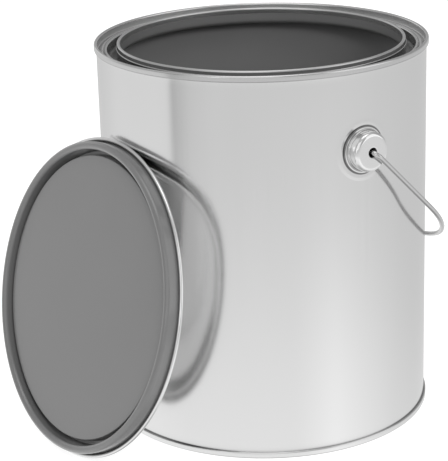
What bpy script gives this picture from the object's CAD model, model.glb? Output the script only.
"""Looks of the one-gallon tinplate paint can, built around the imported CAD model.

Everything is in the CAD model's own frame: Z is up, the can stands on Z = 0 round the Z axis,
its ears are at +X and -X and the lid leans on it at -Y. Lengths are in millimetres until a mesh
is made, angles in degrees until they reach a sine."""

import math

import bmesh
import bpy
from mathutils import Matrix, Vector


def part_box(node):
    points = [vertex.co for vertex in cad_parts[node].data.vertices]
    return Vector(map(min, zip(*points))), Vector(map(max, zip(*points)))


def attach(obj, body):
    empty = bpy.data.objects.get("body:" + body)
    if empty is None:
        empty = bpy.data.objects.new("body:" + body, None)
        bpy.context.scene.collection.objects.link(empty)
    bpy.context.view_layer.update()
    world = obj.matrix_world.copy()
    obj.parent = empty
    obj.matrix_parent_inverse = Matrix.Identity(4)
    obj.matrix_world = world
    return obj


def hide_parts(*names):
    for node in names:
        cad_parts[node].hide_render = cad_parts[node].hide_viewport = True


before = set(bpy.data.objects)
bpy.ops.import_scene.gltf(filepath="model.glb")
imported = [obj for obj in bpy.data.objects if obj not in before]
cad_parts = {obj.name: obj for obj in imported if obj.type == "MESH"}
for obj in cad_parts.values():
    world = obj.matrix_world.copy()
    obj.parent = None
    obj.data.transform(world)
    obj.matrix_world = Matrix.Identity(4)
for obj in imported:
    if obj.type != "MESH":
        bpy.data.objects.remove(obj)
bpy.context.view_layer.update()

MM = 0.001
AROUND = 512         # segments of a full turn
WALL_AROUND = 720    # finer on the wall, for its side weld
EAR_AROUND = 192
WIRE_SIDES = 28
SHARP = math.radians(38)  # edges turned by more than this are not smoothed


def cad(node):
    """Lowest and highest corner of a CAD node, in millimetres."""
    low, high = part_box(node)
    return Vector(low) / MM, Vector(high) / MM


# ---------------------------------------------------------------- sizes
CAN_H = cad("top_ring")[1].z
SEAM_R = cad("top_ring")[1].x
BODY_R = SEAM_R - 1.1
BODY_T = 0.3                       # plate of the wall
END_T = 0.35                       # plate of the ring and of the bottom
BEND_C, BEND_R = 83.225, 0.7       # double seam's rounded top, to the middle of the plate
TURN_C, TURN_R = 83.55, 0.375      # double seam's lower turn
CHUCK_R = BEND_C - BEND_R          # upright wall inside the seam
SKIN_R = BEND_C + BEND_R           # outer skin of the seam
LEDGE_Z = CAN_H - 4.0              # the ring's ledge
PLATE_END = 0.4                    # round plates are drawn to here and then closed at the axis
WELD_AZ = 124.0                    # where the wall's side weld is

EAR_Z = (cad("ear_right")[0].z + cad("ear_right")[1].z) / 2
EAR_OUT = cad("ear_right")[1].x - BODY_R
EAR_BASE, EAR_CUP, EAR_HOLE = 11.65, 9.8, 2.4  # radii of flange, cup and hole
WIRE_R = 1.2

LID_R = 79.4
LID_T = 0.3
LID_CURL = 0.9                     # radius of the curled edge
LID_LEAN, LID_AZ = 14.7, -89.42    # lean from upright, and the way the lining faces
LID_OUT, LID_SIDE = 102.95, -5.31  # the lid's middle: away from the can's axis and sideways

VIEW_AZ = 55.0                     # the side of the can that the camera stands on


# ---------------------------------------------------------------- outlines
def arc(centre, r, a0, a1, step=9.0):
    """Points of an arc from angle a0 to a1, both ends included."""
    n = max(2, math.ceil(abs(a1 - a0) / step))
    turn = [math.radians(a0 + (a1 - a0) * i / n) for i in range(n + 1)]
    return [(centre[0] + r * math.cos(a), centre[1] + r * math.sin(a)) for a in turn]


def line(p, q, n):
    """Points between p and q, both left out."""
    return [(p[0] + (q[0] - p[0]) * i / n, p[1] + (q[1] - p[1]) * i / n) for i in range(1, n)]


def swell(p, q, height, n=14):
    """A smooth bead from p to q, raised in the direction of the second coordinate."""
    out = []
    for i in range(n + 1):
        t = i / n
        rise = height * (1 - math.cos(2 * math.pi * t)) / 2
        out.append((p[0] + (q[0] - p[0]) * t, p[1] + (q[1] - p[1]) * t + rise))
    return out


def step_to(p, q, n=10):
    """A smooth step from p to q."""
    out = []
    for i in range(n + 1):
        t = i / n
        s = t * t * (3 - 2 * t)
        out.append((p[0] + (q[0] - p[0]) * t, p[1] + (q[1] - p[1]) * s))
    return out


def joined(*runs):
    """One path from several runs, without doubled points."""
    path = []
    for run in runs:
        for p in run:
            if not path or math.dist(path[-1], p) > 1e-4:
                path.append(p)
    return path


def sheet(path, t, left, right, ends):
    """Closed outline of a plate of thickness t along path, and the material of the edge after
    each of its points: left and right of the path, and on the two cut ends."""
    left_pts, right_pts = [], []
    n = len(path)
    for i, (x, y) in enumerate(path):
        a, b = path[max(i - 1, 0)], path[min(i + 1, n - 1)]
        dx, dy = b[0] - a[0], b[1] - a[1]
        d = math.hypot(dx, dy)
        nx, ny = -dy / d * t / 2, dx / d * t / 2
        left_pts.append((x + nx, y + ny))
        right_pts.append((x - nx, y - ny))
    coats = [left] * (n - 1) + [ends] + [right] * (n - 1) + [ends]
    return left_pts + right_pts[::-1], coats


def recoat(pts, coats, old, new, low, high):
    """Gives the edges coated old whose middle lies in the box low-high the material new."""
    for i, (p, q) in enumerate(zip(pts, pts[1:] + pts[:1])):
        x, y = (p[0] + q[0]) / 2, (p[1] + q[1]) / 2
        if coats[i] == old and low[0] < x < high[0] and low[1] < y < high[1]:
            coats[i] = new


def to_axis(pts, coats):
    """Closes the far end of a plate at the axis, so that no pinhole is left."""
    n = len(pts) // 2
    out = pts[:n] + [(0.0, pts[n - 1][1]), (0.0, pts[n][1])] + pts[n:]
    return out, coats[:n - 1] + [coats[n - 2], coats[n - 1], coats[n + 1]] + coats[n:]


# ---------------------------------------------------------------- meshes
def new_object(name, bm, mats):
    """Makes an object of a bmesh, smooth but for its sharp edges."""
    bmesh.ops.recalc_face_normals(bm, faces=bm.faces)
    for e in bm.edges:
        if len(e.link_faces) == 2:
            e.smooth = e.calc_face_angle(0) < SHARP
    for f in bm.faces:
        f.smooth = True
    mesh = bpy.data.meshes.new(name)
    bm.to_mesh(mesh)
    bm.free()
    for m in mats:
        mesh.materials.append(m)
    ob = bpy.data.objects.new(name, mesh)
    bpy.context.scene.collection.objects.link(ob)
    return ob


def close_rings(bm, rings):
    """Quads between each ring of points and the next one."""
    for r0, r1 in zip(rings, rings[1:]):
        for k in range(len(r0)):
            k2 = (k + 1) % len(r0)
            bm.faces.new((r0[k], r0[k2], r1[k2], r1[k]))


def revolve(name, outline, mats, turns=AROUND, place=Matrix.Identity(4), radius_at=None):
    """Turns a closed outline (points, material of each edge) about the Z axis. Where given,
    radius_at(radius, z, angle) changes a point's radius."""
    bm = bmesh.new()
    pts, coats = outline
    rings = []
    for x, z in pts:
        if x < 1e-6:
            rings.append([bm.verts.new((0, 0, z * MM))])
            continue
        ring = []
        for k in range(turns):
            a = 2 * math.pi * k / turns
            r = radius_at(x, z, a) if radius_at else x
            ring.append(bm.verts.new((r * math.cos(a) * MM, r * math.sin(a) * MM, z * MM)))
        rings.append(ring)
    for r0, r1, mat in zip(rings, rings[1:] + rings[:1], coats):
        if len(r0) == 1 and len(r1) == 1:
            continue
        index = mats.index(mat)
        for k in range(turns):
            k2 = (k + 1) % turns
            if len(r1) == 1:
                f = bm.faces.new((r0[k], r0[k2], r1[0]))
            elif len(r0) == 1:
                f = bm.faces.new((r0[0], r1[k2], r1[k]))
            else:
                f = bm.faces.new((r0[k], r0[k2], r1[k2], r1[k]))
            f.material_index = index
    bm.transform(place)
    return new_object(name, bm, mats)


def sweep(name, path, radius, mat, place):
    """Round wire with flat ends along path, whose points lie in the XY plane."""
    bm = bmesh.new()
    n = len(path)
    rings = []
    for i, (x, y) in enumerate(path):
        a, b = path[max(i - 1, 0)], path[min(i + 1, n - 1)]
        d = math.hypot(b[0] - a[0], b[1] - a[1])
        nx, ny = -(b[1] - a[1]) / d, (b[0] - a[0]) / d
        ring = []
        for k in range(WIRE_SIDES):
            t = 2 * math.pi * k / WIRE_SIDES
            c, s = math.cos(t) * radius, math.sin(t) * radius
            ring.append(bm.verts.new(((x + nx * c) * MM, (y + ny * c) * MM, s * MM)))
        rings.append(ring)
    close_rings(bm, rings)
    bm.faces.new(rings[0])
    bm.faces.new(rings[-1])
    bm.transform(place)
    return new_object(name, bm, [mat])


# ---------------------------------------------------------------- shader nodes
def nodes_of(name):
    """A new material, its node tree and its Principled BSDF."""
    mat = bpy.data.materials.new(name)
    mat.use_nodes = True
    tree = mat.node_tree
    return mat, tree, tree.nodes["Principled BSDF"]


def grey(v):
    return (v, v, v, 1.0)


def maths(tree, op, *values):
    """A Math node; each value is a number or another node's output."""
    node = tree.nodes.new("ShaderNodeMath")
    node.operation = op
    for socket, v in zip(node.inputs, values):
        if isinstance(v, bpy.types.NodeSocket):
            tree.links.new(v, socket)
        else:
            socket.default_value = v
    return node.outputs[0]


def spread(tree, value, low, high, low_out, high_out):
    """Maps low..high to low_out..high_out and holds it there outside."""
    node = tree.nodes.new("ShaderNodeMapRange")
    tree.links.new(value, node.inputs[0])
    for i, v in enumerate((low, high, low_out, high_out), start=1):
        node.inputs[i].default_value = v
    return node.outputs[0]


def band(tree, value, low, high, soft):
    """1 between low and high, falling to 0 over soft outside them."""
    up = spread(tree, value, low - soft, low, 0, 1)
    down = spread(tree, value, high, high + soft, 1, 0)
    return maths(tree, "MULTIPLY", up, down)


def length(tree, u, v):
    """Length of the vector (u, v)."""
    return maths(tree, "SQRT", maths(tree, "ADD", maths(tree, "POWER", u, 2.0),
                                     maths(tree, "POWER", v, 2.0)))


def noise(tree, vector, scale, detail, rough, stretch=(1, 1, 1)):
    """Value 0..1 of a noise; stretch multiplies the coordinates first."""
    m = tree.nodes.new("ShaderNodeMapping")
    m.inputs["Scale"].default_value = stretch
    tree.links.new(vector, m.inputs["Vector"])
    n = tree.nodes.new("ShaderNodeTexNoise")
    n.inputs["Scale"].default_value = scale
    n.inputs["Detail"].default_value = detail
    n.inputs["Roughness"].default_value = rough
    tree.links.new(m.outputs[0], n.inputs["Vector"])
    return n.outputs["Fac"]


def bump(tree, bsdf, height, strength, distance, normal=None):
    """Links a bump to the BSDF, on top of the bump normal where one is given."""
    node = tree.nodes.new("ShaderNodeBump")
    node.inputs["Strength"].default_value = strength
    node.inputs["Distance"].default_value = distance
    tree.links.new(height, node.inputs["Height"])
    if normal is not None:
        tree.links.new(normal, node.inputs["Normal"])
    tree.links.new(node.outputs[0], bsdf.inputs["Normal"])
    return node.outputs[0]


def grey_base(tree, bsdf, value):
    """Links a value to the base colour as a grey."""
    colour = tree.nodes.new("ShaderNodeCombineColor")
    for socket in colour.inputs:
        tree.links.new(value, socket)
    tree.links.new(colour.outputs[0], bsdf.inputs["Base Color"])


# ---------------------------------------------------------------- materials
def tinplate(name, tone, rough, shade=None, relief=None):
    """Bright tinplate: rolling lines along the sheet, a soft cloudiness and small scuffs.
    shade(tree, x, y, z) may give a factor for the grime in corners and relief(tree, x, y, z)
    a pressed height; both work in millimetres."""
    mat, t, b = nodes_of(name)
    here = t.nodes.new("ShaderNodeTexCoord").outputs["Object"]
    b.inputs["Metallic"].default_value = 1.0
    lines = noise(t, here, 1.0, 3.0, 0.6, stretch=(900, 900, 5))
    cloud = noise(t, here, 11.0, 3.0, 0.5, stretch=(1, 1, 0.5))
    speck = noise(t, here, 240.0, 2.0, 0.6)
    value = maths(t, "ADD", maths(t, "ADD", spread(t, lines, 0.3, 0.7, -0.005, 0.005),
                                  spread(t, cloud, 0.3, 0.7, -0.012, 0.012)), tone)
    xyz = t.nodes.new("ShaderNodeSeparateXYZ")
    t.links.new(here, xyz.inputs[0])
    at = [maths(t, "MULTIPLY", c, 1 / MM) for c in xyz.outputs]
    if shade:
        value = maths(t, "MULTIPLY", value, shade(t, *at))
    grey_base(t, b, value)
    dull = maths(t, "ADD", spread(t, lines, 0.3, 0.7, -0.012, 0.012),
                 spread(t, cloud, 0.35, 0.7, rough - 0.015, rough + 0.03))
    t.links.new(dull, b.inputs["Roughness"])
    normal = bump(t, b, lines, 0.008, 0.0002)
    normal = bump(t, b, speck, 0.008, 0.0001, normal)
    if relief:
        bump(t, b, relief(t, *at), 1.0, MM, normal)
    return mat


def lacquer(name, tone, rough, gloss=0.0):
    """Grey lining lacquer: a thin, slightly uneven baked coat."""
    mat, t, b = nodes_of(name)
    here = t.nodes.new("ShaderNodeTexCoord").outputs["Object"]
    cloud = noise(t, here, 16.0, 3.0, 0.55)
    peel = noise(t, here, 420.0, 2.0, 0.5)
    grey_base(t, b, spread(t, cloud, 0.2, 0.8, tone * 0.96, tone * 1.04))
    t.links.new(spread(t, cloud, 0.2, 0.8, rough - 0.03, rough + 0.03), b.inputs["Roughness"])
    b.inputs["Specular IOR Level"].default_value = 0.5
    b.inputs["Coat Weight"].default_value = gloss
    b.inputs["Coat Roughness"].default_value = 0.09
    bump(t, b, peel, 0.05, 0.0002)
    return mat


def from_ear(t, y, z):
    """Distance from the axis of the ears."""
    return length(t, y, maths(t, "SUBTRACT", z, EAR_Z))


def on_ear_side(t, x, value):
    """value near the two ears, 0 on the rest of the wall."""
    return spread(t, maths(t, "ABSOLUTE", x), 40, 60, 0, value)


def wall_grime(t, x, y, z):
    """Dark over the bottom seam, round and behind the ears and along the side weld."""
    foot = maths(t, "MULTIPLY", band(t, z, 3.0, 3.9, 0.4), 0.1)
    rho = from_ear(t, y, z)
    near_ear = maths(t, "MAXIMUM", band(t, rho, 11.0, 11.95, 0.35),
                     spread(t, rho, 8.5, 9.5, 1, 0))
    round_ear = maths(t, "MULTIPLY", near_ear, on_ear_side(t, x, 0.72))
    angle = maths(t, "MULTIPLY", maths(t, "ARCTAN2", y, x), 180 / math.pi)
    weld = maths(t, "MULTIPLY", band(t, angle, WELD_AZ - 0.7, WELD_AZ + 0.7, 0.25), 0.22)
    dark = maths(t, "MAXIMUM", maths(t, "MAXIMUM", foot, round_ear), weld)
    return maths(t, "SUBTRACT", 1.0, dark)


def wall_relief(t, x, y, z):
    """The wall is pressed up a little in a ring round each ear."""
    ring = band(t, from_ear(t, y, z), 13.2, 13.8, 1.5)
    return maths(t, "MULTIPLY", ring, on_ear_side(t, x, 0.06))


def ring_grime(t, x, y, z):
    """Dark between the ledge's crests, most in its corners, and along the seam's lower edge."""
    r = length(t, x, y)
    corners = maths(t, "MAXIMUM", band(t, r, 81.2, 82.4, 0.35), band(t, r, 78.95, 79.5, 0.25))
    low = spread(t, z, LEDGE_Z + 0.1, LEDGE_Z + 0.5, 0.3, 0)
    ledge = maths(t, "MULTIPLY", band(t, z, LEDGE_Z - 0.5, LEDGE_Z + 1.5, 0.3),
                  band(t, r, 77.9, 82.4, 0.2))
    ledge = maths(t, "MULTIPLY", maths(t, "MULTIPLY_ADD", corners, 0.2, low), ledge)
    skin = maths(t, "MULTIPLY", spread(t, r, SKIN_R, SKIN_R + 0.1, 0, 1),
                 spread(t, z, CAN_H - 2.7, CAN_H - 2.4, 0.35, 0.07))
    return maths(t, "SUBTRACT", 1.0, maths(t, "ADD", ledge, skin))


def ear_grime(t, x, y, z):
    """Dark on the flange's edge, in the corner at the foot of the cup and inside the cup."""
    rho = from_ear(t, y, z)
    out = maths(t, "ABSOLUTE", x)
    face = BODY_R + EAR_OUT
    edge = maths(t, "MULTIPLY", band(t, rho, 11.25, 12.0, 0.25), 0.72)
    corner = maths(t, "MULTIPLY", band(t, rho, 10.05, 10.5, 0.25),
                   spread(t, out, BODY_R + 1.2, BODY_R + 2.0, 0.5, 0))
    within = maths(t, "MULTIPLY", spread(t, rho, 7.3, 7.5, 0.8, 0),
                   spread(t, out, face - 0.3, face - 0.2, 1, 0))
    dark = maths(t, "MAXIMUM", maths(t, "MAXIMUM", edge, corner), within)
    return maths(t, "SUBTRACT", 1.0, dark)


WALL = tinplate("tinplate wall", 0.76, 0.14, shade=wall_grime, relief=wall_relief)
RING = tinplate("tinplate ring", 0.69, 0.18, shade=ring_grime)
HEM = tinplate("bare hem", 0.64, 0.30)
CHUCK = tinplate("dull ring wall", 0.66, 0.44)
EARS = tinplate("ear plate", 0.82, 0.13, shade=ear_grime)
WIRE = tinplate("bail wire", 0.60, 0.17)
LID_TOP = tinplate("lid top side", 0.80, 0.13)
LINING = lacquer("lining lacquer", 0.124, 0.32, gloss=1.0)
INSIDE = lacquer("inside lacquer", 0.175, 0.45)
NECK = lacquer("neck lacquer", 0.125, 0.4)
GROOVE = lacquer("groove lacquer", 0.09, 0.25)
RUBBER = lacquer("seam compound", 0.10, 0.6)


# ---------------------------------------------------------------- the can
def seam_path():
    """The end plate's share of a double seam, measured down from the seam's top."""
    turn_z, bend_z, hook_z = -2.65, -0.875, -1.6
    return joined([(TURN_C - TURN_R, hook_z)], arc((TURN_C, turn_z), TURN_R, 180, 360, 12),
                  line((SKIN_R, turn_z), (SKIN_R, bend_z), 4),
                  arc((BEND_C, bend_z), BEND_R, 0, 180, 8))


def wall_path():
    """The wall from its upper seam hook down to the lower one."""
    middle_r = BODY_R - BODY_T / 2
    hook_r, hook_z, bend_r, bend_z = TURN_C, CAN_H - 2.4, 0.3, CAN_H - 1.5
    top = joined([(hook_r, hook_z)], arc((hook_r - bend_r, bend_z), bend_r, 0, 90, 15),
                 arc((middle_r + bend_r, bend_z), bend_r, 90, 180, 15))
    bottom = [(x, CAN_H - z) for x, z in reversed(top)]
    return joined(top, line(top[-1], bottom[0], 40), bottom)


def weld_lap(r, z, angle):
    """The side weld stands a little proud of the wall's outside, between the seams."""
    rise, half_width, slope, seam_h = 0.12, 0.75, 0.35, 3.5
    off = abs((math.degrees(angle) - WELD_AZ + 180) % 360 - 180)
    if abs(r - BODY_R) < 0.01 and seam_h < z < CAN_H - seam_h:
        return r + rise * max(0.0, min(1.0, (half_width - off) / slope))
    return r


wall = revolve("can_wall", sheet(wall_path(), BODY_T, WALL, INSIDE, WALL), [WALL, INSIDE],
               WALL_AROUND, radius_at=weld_lap)
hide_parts("body_shell")
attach(wall, "can")


def ring_path():
    """The ring from the seam inwards: upright wall, ledge with a bead, shoulder ridge, groove
    for the lid, neck, and the hem that is folded outwards round the mouth."""
    seam = [(x, z + CAN_H) for x, z in seam_path()]
    corner_r = 0.625
    bead_out, bead_in, bead_h = 81.1, 79.2, 0.5
    ridge_x, ridge_z, ridge_r = 78.25, LEDGE_Z + 0.15, 0.575
    groove_r = ridge_x - ridge_r                # outer wall of the groove
    floor_z, floor_r = CAN_H - 6.7, 2.175       # the groove's floor and its roundings
    hem_x, hem_z, hem_r = 71.8, CAN_H - 1.15, 0.675
    neck_r = hem_x - hem_r
    lip_x, lip_z, lip_r = 72.55, CAN_H - 2.6, 0.6
    return joined(
        seam, line(seam[-1], (CHUCK_R, LEDGE_Z + corner_r), 4),
        arc((CHUCK_R - corner_r, LEDGE_Z + corner_r), corner_r, 0, -90, 10),
        swell((bead_out, LEDGE_Z), (bead_in, LEDGE_Z), bead_h),
        [(ridge_x + ridge_r + 0.1, LEDGE_Z)],
        arc((ridge_x, ridge_z), ridge_r, 0, 180, 9),
        line((groove_r, ridge_z), (groove_r, floor_z), 4),
        arc((groove_r - floor_r, floor_z), floor_r, 0, -90, 9),
        arc((neck_r + floor_r, floor_z), floor_r, -90, -180, 9),
        line((neck_r, floor_z), (neck_r, hem_z), 8),
        arc((hem_x, hem_z), hem_r, 180, 0, 9),
        line((hem_x + hem_r, hem_z), (lip_x, lip_z), 4),
        arc((lip_x + lip_r, lip_z), lip_r, 180, 245, 13))


RING_FOOT = 180.0  # a height below the whole ring
pts, coats = sheet(ring_path(), END_T, INSIDE, RING, HEM)
# the groove is lacquered dark, the hem is bare but for its outer leg
recoat(pts, coats, RING, GROOVE, (71.0, RING_FOOT), (78.0, LEDGE_Z + 0.1))
recoat(pts, coats, INSIDE, HEM, (70.0, CAN_H - 3.2), (74.0, CAN_H))
recoat(pts, coats, HEM, GROOVE, (72.2, CAN_H - 2.6), (74.0, CAN_H - 1.2))
# inside of the neck, and the ring's upright wall
recoat(pts, coats, INSIDE, NECK, (70.0, RING_FOOT), (72.0, CAN_H))
recoat(pts, coats, RING, CHUCK, (82.0, LEDGE_Z), (82.8, CAN_H - 1.0))
ring = revolve("top_ring_looks", (pts, coats), [RING, INSIDE, GROOVE, NECK, CHUCK, HEM])
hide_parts("top_ring")
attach(ring, "can")


def bottom_path():
    """The set-in bottom from the seam inwards, with two steps in its panel."""
    seam = [(x, -z) for x, z in seam_path()]
    corner_r, corner_z = 1.025, 4.15
    step_w, step_h = 1.6, 0.9
    runs = [seam, line(seam[-1], (CHUCK_R, corner_z), 4),
            arc((CHUCK_R - corner_r, corner_z), corner_r, 0, 90, 9)]
    x, z = CHUCK_R - corner_r, corner_z + corner_r
    for step_x, n in ((70.2, 5), (52.2, 6)):
        runs.append(line((x, z), (step_x, z), n))
        runs.append(step_to((step_x, z), (step_x - step_w, z + step_h)))
        x, z = step_x - step_w, z + step_h
    return joined(*runs, line((x, z), (PLATE_END, z), 12), [(PLATE_END, z)])


bottom = revolve("bottom_looks", to_axis(*sheet(bottom_path(), END_T, WALL, INSIDE, WALL)),
                 [WALL, INSIDE])
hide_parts("bottom_end")
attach(bottom, "can")

for node in ("top_seam_compound", "bottom_seam_compound"):
    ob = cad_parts[node]
    ob.data.materials.clear()
    ob.data.materials.append(RUBBER)


# ---------------------------------------------------------------- the ears
def ear_outline():
    """(radius, height over the wall) from the flange's edge to the inside of the cup."""
    t, bend, foot_r, lip = 0.4, 2.2, 0.6, 0.3   # plate, cup's corner, cup's foot, hole's edge
    edge_h = 0.3
    foot_h = edge_h + t + foot_r
    shoulder = (EAR_CUP - bend, EAR_OUT - bend)
    return joined(
        [(EAR_BASE, -edge_h)], [(EAR_BASE, edge_h)],
        arc((EAR_BASE - t, edge_h), t, 0, 90, 20), [(EAR_CUP + 0.75, edge_h + t)],
        arc((EAR_CUP + foot_r, foot_h), foot_r, -90, -180, 15),
        line((EAR_CUP, foot_h), (EAR_CUP, shoulder[1]), 8),
        arc(shoulder, bend, 0, 90, 7.5),
        line((shoulder[0], EAR_OUT), (EAR_HOLE + lip, EAR_OUT), 8),
        arc((EAR_HOLE + lip, EAR_OUT - lip), lip, 90, 180, 20),
        [(EAR_HOLE + 0.05, EAR_OUT - t)],
        line((EAR_HOLE, EAR_OUT - t), (shoulder[0], EAR_OUT - t), 4),
        arc(shoulder, bend - t, 90, 0, 15),
        [(EAR_CUP - t, -1.0)])


def ear(name, node, turn):
    """A drawn cup on a flange that follows the round wall, and is flat from flat_h outwards."""
    flat_h, blend_h = 2.4, 2.0
    bm = bmesh.new()
    rings = []
    for rho, h in ear_outline():
        follow = max(0.0, min(1.0, (flat_h - h) / blend_h))
        ring = []
        for k in range(EAR_AROUND):
            a = 2 * math.pi * k / EAR_AROUND
            y, z = rho * math.cos(a), rho * math.sin(a)
            x = (math.sqrt(BODY_R**2 - y * y) - BODY_R) * follow + BODY_R + h
            ring.append(bm.verts.new((x * MM, y * MM, z * MM)))
        rings.append(ring)
    close_rings(bm, rings)
    bm.transform(Matrix.Translation((0, 0, EAR_Z * MM)) @ Matrix.Rotation(turn, 4, "Z"))
    ob = new_object(name, bm, [EARS])
    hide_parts(node)
    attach(ob, "can")


ear("ear_right_looks", "ear_right", 0.0)
ear("ear_left_looks", "ear_left", math.pi)


# ---------------------------------------------------------------- the bail
BAIL_DROOP = 42.2  # how far the bail hangs below level at rest


def bail_path():
    """The wire in its own plane: X along the ears' axis, Y the way the bail reaches."""
    reach, shoulder_r, shoulder_c, slant, hook_r = 114.0, 50.0, (35.4, 45.0), 9, 3.2
    lean = math.radians(slant)
    # the wide arc over the top runs into both shoulders
    top_r = ((shoulder_c[0]**2 + (reach - shoulder_c[1])**2 - shoulder_r**2)
             / (2 * (reach - shoulder_c[1] - shoulder_r)))
    top_c = reach - top_r
    meet = math.degrees(math.atan2(shoulder_c[1] - top_c, shoulder_c[0]))
    # the slanted leg, and the turn at its foot into the ear's hole
    leg = (shoulder_c[0] + shoulder_r * math.cos(lean), shoulder_c[1] + shoulder_r * math.sin(lean))
    foot_y = hook_r * (1 + math.sin(lean))
    foot_x = leg[0] + (leg[1] - foot_y) * math.tan(lean) - hook_r * math.cos(lean)
    start = BODY_R + 1.9
    half = joined([(start, 0.0)], line((start, 0), (foot_x, 0), 4),
                  arc((foot_x, hook_r), hook_r, -90, slant, 6),
                  line((foot_x + hook_r * math.cos(lean), foot_y), leg, 16),
                  arc(shoulder_c, shoulder_r, slant, meet, 1.5))
    other = [(-x, y) for x, y in reversed(half)]
    return joined(half, arc((0, top_c), top_r, meet, 180 - meet, 1.5), other)


at_ears = (Matrix.Translation((0, 0, EAR_Z * MM))
           @ Matrix.Rotation(math.radians(-BAIL_DROOP), 4, "X"))
bail = sweep("bail_looks", bail_path(), WIRE_R, WIRE, at_ears)
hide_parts("bail_wire")
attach(bail, "bail")


# ---------------------------------------------------------------- the lid
def lid_path():
    """The lid from its curled edge inwards: rim, plug ridge, channel and recessed panel. The
    second coordinate grows from the rim's bright top side towards the lining."""
    half_t = LID_T / 2
    curl_x = LID_R - LID_CURL
    plug_out, plug_in, plug_z = 76.95, 73.15, 5.95  # the ridge's walls and where its round begins
    plug_r = (plug_out - plug_in) / 2
    foot_r = 0.6
    moat_in, moat_z, moat_r = 70.25, -0.6, 0.85     # the channel's inner wall, floor, roundings
    panel_z, panel_r = 4.3, 0.5
    return joined(
        arc((curl_x, LID_CURL), LID_CURL - half_t, 178, -90, 9),
        line((curl_x, half_t), (plug_out + foot_r, half_t), 2),
        arc((plug_out + foot_r, half_t + foot_r), foot_r, -90, -180, 10),
        line((plug_out, half_t + foot_r), (plug_out, plug_z), 5),
        arc((plug_in + plug_r, plug_z), plug_r, 0, 180, 7.5),
        line((plug_in, plug_z), (plug_in, moat_z), 5),
        arc((plug_in - moat_r, moat_z), moat_r, 0, -90, 9),
        arc((moat_in + moat_r, moat_z), moat_r, -90, -180, 9),
        line((moat_in, moat_z), (moat_in, panel_z - panel_r), 4),
        arc((moat_in - panel_r, panel_z - panel_r), panel_r, 0, 90, 9),
        line((moat_in - panel_r, panel_z), (PLATE_END, panel_z), 24), [(PLATE_END, panel_z)])


def leaning():
    """Places the lid: it stands on its edge and leans back on the can's rim."""
    lean, az = math.radians(LID_LEAN), math.radians(LID_AZ)
    middle = Vector((LID_OUT * math.cos(az) - LID_SIDE * math.sin(az),
                     LID_OUT * math.sin(az) + LID_SIDE * math.cos(az),
                     (LID_R - LID_CURL) * math.cos(lean) + LID_CURL * (1 - math.sin(lean))))
    return (Matrix.Translation(middle * MM) @ Matrix.Rotation(az, 4, "Z")
            @ Matrix.Rotation(math.pi / 2 - lean, 4, "Y"))


lid = revolve("lid_looks", to_axis(*sheet(lid_path(), LID_T, LID_TOP, LINING, LID_TOP)),
              [LID_TOP, LINING], place=leaning())
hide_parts("lid")
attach(lid, "lid")

# ---------------------------------------------------------------- floor
scene = bpy.context.scene
scene.view_settings.view_transform = "Standard"
scene.view_settings.look = "None"


def stage_floor(side):
    """A plain pale floor, in metres. Bright metal does not mirror it, but the tent below it."""
    mat, _, b = nodes_of("studio floor")
    b.inputs["Base Color"].default_value = grey(0.35)
    b.inputs["Roughness"].default_value = 0.9
    b.inputs["Specular IOR Level"].default_value = 0.0
    b.inputs["Emission Color"].default_value = grey(1.0)
    b.inputs["Emission Strength"].default_value = 0.84
    bm = bmesh.new()
    h = side / 2
    bm.faces.new([bm.verts.new(p) for p in ((-h, -h, 0), (h, -h, 0), (h, h, 0), (-h, h, 0))])
    mesh = bpy.data.meshes.new("studio_floor")
    bm.to_mesh(mesh)
    bm.free()
    mesh.materials.append(mat)
    floor = bpy.data.objects.new("studio_floor", mesh)
    scene.collection.objects.link(floor)
    floor.visible_glossy = False


stage_floor(40)

# ---------------------------------------------------------------- light tent
# The tent's brightness is (brightness by height) x (brightness by side) + panels. The side is
# the angle to the right of the camera's side of the can.
# It is lit from below its middle, dimmer above, and has a small bright lamp overhead.
LIGHT_BY_HEIGHT = [(-90, 0.45), (-66, 0.52), (-54, 0.88), (-40, 0.95), (-27, 1.02), (-24, 0.98),
                   (-21, 0.86), (-18, 0.77), (-12, 0.74), (0, 0.6), (15, 0.45), (30, 0.40),
                   (60, 0.55), (70, 0.8), (76, 1.7), (90, 2.0)]
# A bright panel on the left with a dark edge, and a soft fall to the right.
LIGHT_BY_SIDE = [(-180, 0.85), (-150, 0.95), (-120, 1.12), (-67, 1.14), (-64.5, 0.66),
                 (-61, 0.78), (-50, 0.95), (-35, 1.0), (70, 1.02), (110, 0.97), (150, 0.90),
                 (180, 0.83)]
# The same close to the floor, where the panel does not reach.
LIGHT_BELOW = [(-180, 0.9), (-120, 1.06), (-60, 1.0), (20, 1.0), (49, 1.14), (75, 1.02),
               (104, 0.90), (132, 0.83), (154, 0.80), (180, 0.8)]
BELOW, ABOVE = -22.0, -16.5  # heights between which the one passes into the other
# side from-to, height from-to, softness, brightness
PANELS = [(50, 95, 0, 45, 6, 0.65), (-50, 10, 12, 44, 8, 0.55), (-155, -128, 2, 30, 5, 0.3),
          (-34, -28, -1, 14, 2.5, 0.9)]


def ramp(tree, value, stops):
    """Straight runs of brightness along value; stops are (value, brightness)."""
    brightest = 4.0
    node = tree.nodes.new("ShaderNodeFloatCurve")
    lo, hi = stops[0][0], stops[-1][0]
    curve = node.mapping.curves[0]
    points = [((v - lo) / (hi - lo), y / brightest) for v, y in stops]
    curve.points[0].location = points[0]
    curve.points[1].location = points[-1]
    for p in points[1:-1]:
        curve.points.new(*p)
    for p in curve.points:
        p.handle_type = "VECTOR"
    node.mapping.update()
    tree.links.new(spread(tree, value, lo, hi, 0, 1), node.inputs["Value"])
    return maths(tree, "MULTIPLY", node.outputs[0], brightest)


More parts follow.
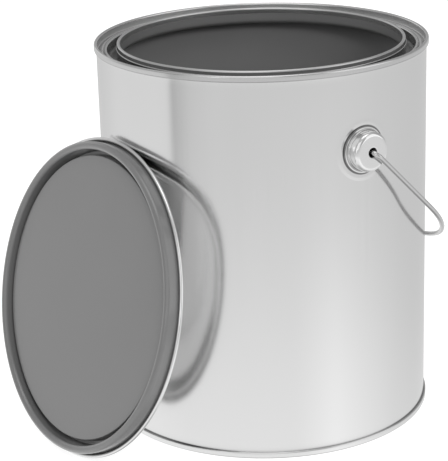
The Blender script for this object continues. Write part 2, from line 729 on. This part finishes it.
def light_tent():
    """Makes the world: the white tent that the bright metal mirrors."""
    world = bpy.data.worlds.new("studio")
    scene.world = world
    world.use_nodes = True
    t = world.node_tree
    xyz = t.nodes.new("ShaderNodeSeparateXYZ")
    t.links.new(t.nodes.new("ShaderNodeTexCoord").outputs["Generated"], xyz.inputs[0])
    x, y, z = xyz.outputs
    degrees = 180 / math.pi
    height = maths(t, "MULTIPLY", maths(t, "ARCSINE", z), degrees)
    side = maths(t, "MULTIPLY", maths(t, "ARCTAN2", x, maths(t, "MULTIPLY", y, -1)), degrees)
    side = maths(t, "WRAP", maths(t, "SUBTRACT", side, VIEW_AZ), 180.0, -180.0)
    by_side = t.nodes.new("ShaderNodeMix")
    t.links.new(spread(t, height, BELOW, ABOVE, 1, 0), by_side.inputs[0])
    t.links.new(ramp(t, side, LIGHT_BY_SIDE), by_side.inputs[2])
    t.links.new(ramp(t, side, LIGHT_BELOW), by_side.inputs[3])
    light = maths(t, "MULTIPLY", ramp(t, height, LIGHT_BY_HEIGHT), by_side.outputs[0])
    for side0, side1, height0, height1, soft, gain in PANELS:
        panel = maths(t, "MULTIPLY", band(t, side, side0, side1, soft),
                      band(t, height, height0, height1, soft))
        light = maths(t, "MULTIPLY_ADD", panel, gain, light)
    t.links.new(light, t.nodes["Background"].inputs["Strength"])
    t.nodes["Background"].inputs["Color"].default_value = grey(1.0)


light_tent()


# ---------------------------------------------------------------- lamps
def round_can(side, distance, height):
    """A point round the can, in metres; side is measured to the right from the camera's side."""
    a = math.radians(VIEW_AZ + side)
    return Vector((math.sin(a) * distance, -math.cos(a) * distance, height))


def softbox(name, where, aim, size, watts):
    """A lamp that fills in the lacquered faces and does not show in the bright metal."""
    light = bpy.data.lights.new(name, "AREA")
    light.shape = "RECTANGLE"
    light.size, light.size_y = size
    light.energy = watts
    ob = bpy.data.objects.new(name, light)
    ob.location = where
    ob.rotation_mode = "QUATERNION"
    ob.rotation_quaternion = (aim - where).to_track_quat("-Z", "Y")
    ob.visible_camera = False
    ob.visible_glossy = False
    scene.collection.objects.link(ob)


middle = Vector((0, 0, CAN_H * MM / 2))
softbox("key", round_can(18, 1.3, 0.84), middle * 1.8, (0.4, 0.3), 7.4)
softbox("top", round_can(20, 0.8, 1.5), middle, (0.5, 0.5), 4)
softbox("left_fill", round_can(-108, 1.1, 0.6), middle, (0.45, 0.7), 4.2)

# ---------------------------------------------------------------- camera
SENSOR = 36.0
FOCAL_SHARE = 1746.63 / 461.0      # focal length over the longer side of the picture
CAM_DIST, CAM_HEIGHT = 0.86363, 0.38710
PITCH, YAW, ROLL = math.radians(18.922), math.radians(-1.423), math.radians(-1.703)


def place_camera():
    """Stands the camera on the can's VIEW_AZ side, looking down by PITCH."""
    data = bpy.data.cameras.new("camera")
    data.sensor_width = SENSOR
    data.lens = FOCAL_SHARE * SENSOR
    data.clip_start, data.clip_end = 0.01, 200
    forward = Vector((math.sin(YAW) * math.cos(PITCH), math.cos(YAW) * math.cos(PITCH),
                      -math.sin(PITCH)))
    level = Vector((math.cos(YAW), -math.sin(YAW), 0))
    upright = level.cross(forward)
    right = level * math.cos(ROLL) + upright * math.sin(ROLL)
    up = upright * math.cos(ROLL) - level * math.sin(ROLL)
    pose = Matrix((right, up, -forward)).transposed().to_4x4()
    pose.translation = Vector((0, -CAM_DIST, CAM_HEIGHT))
    cam = bpy.data.objects.new("camera", data)
    cam.matrix_world = Matrix.Rotation(math.radians(VIEW_AZ), 4, "Z") @ pose
    scene.collection.objects.link(cam)
    scene.camera = cam


place_camera()
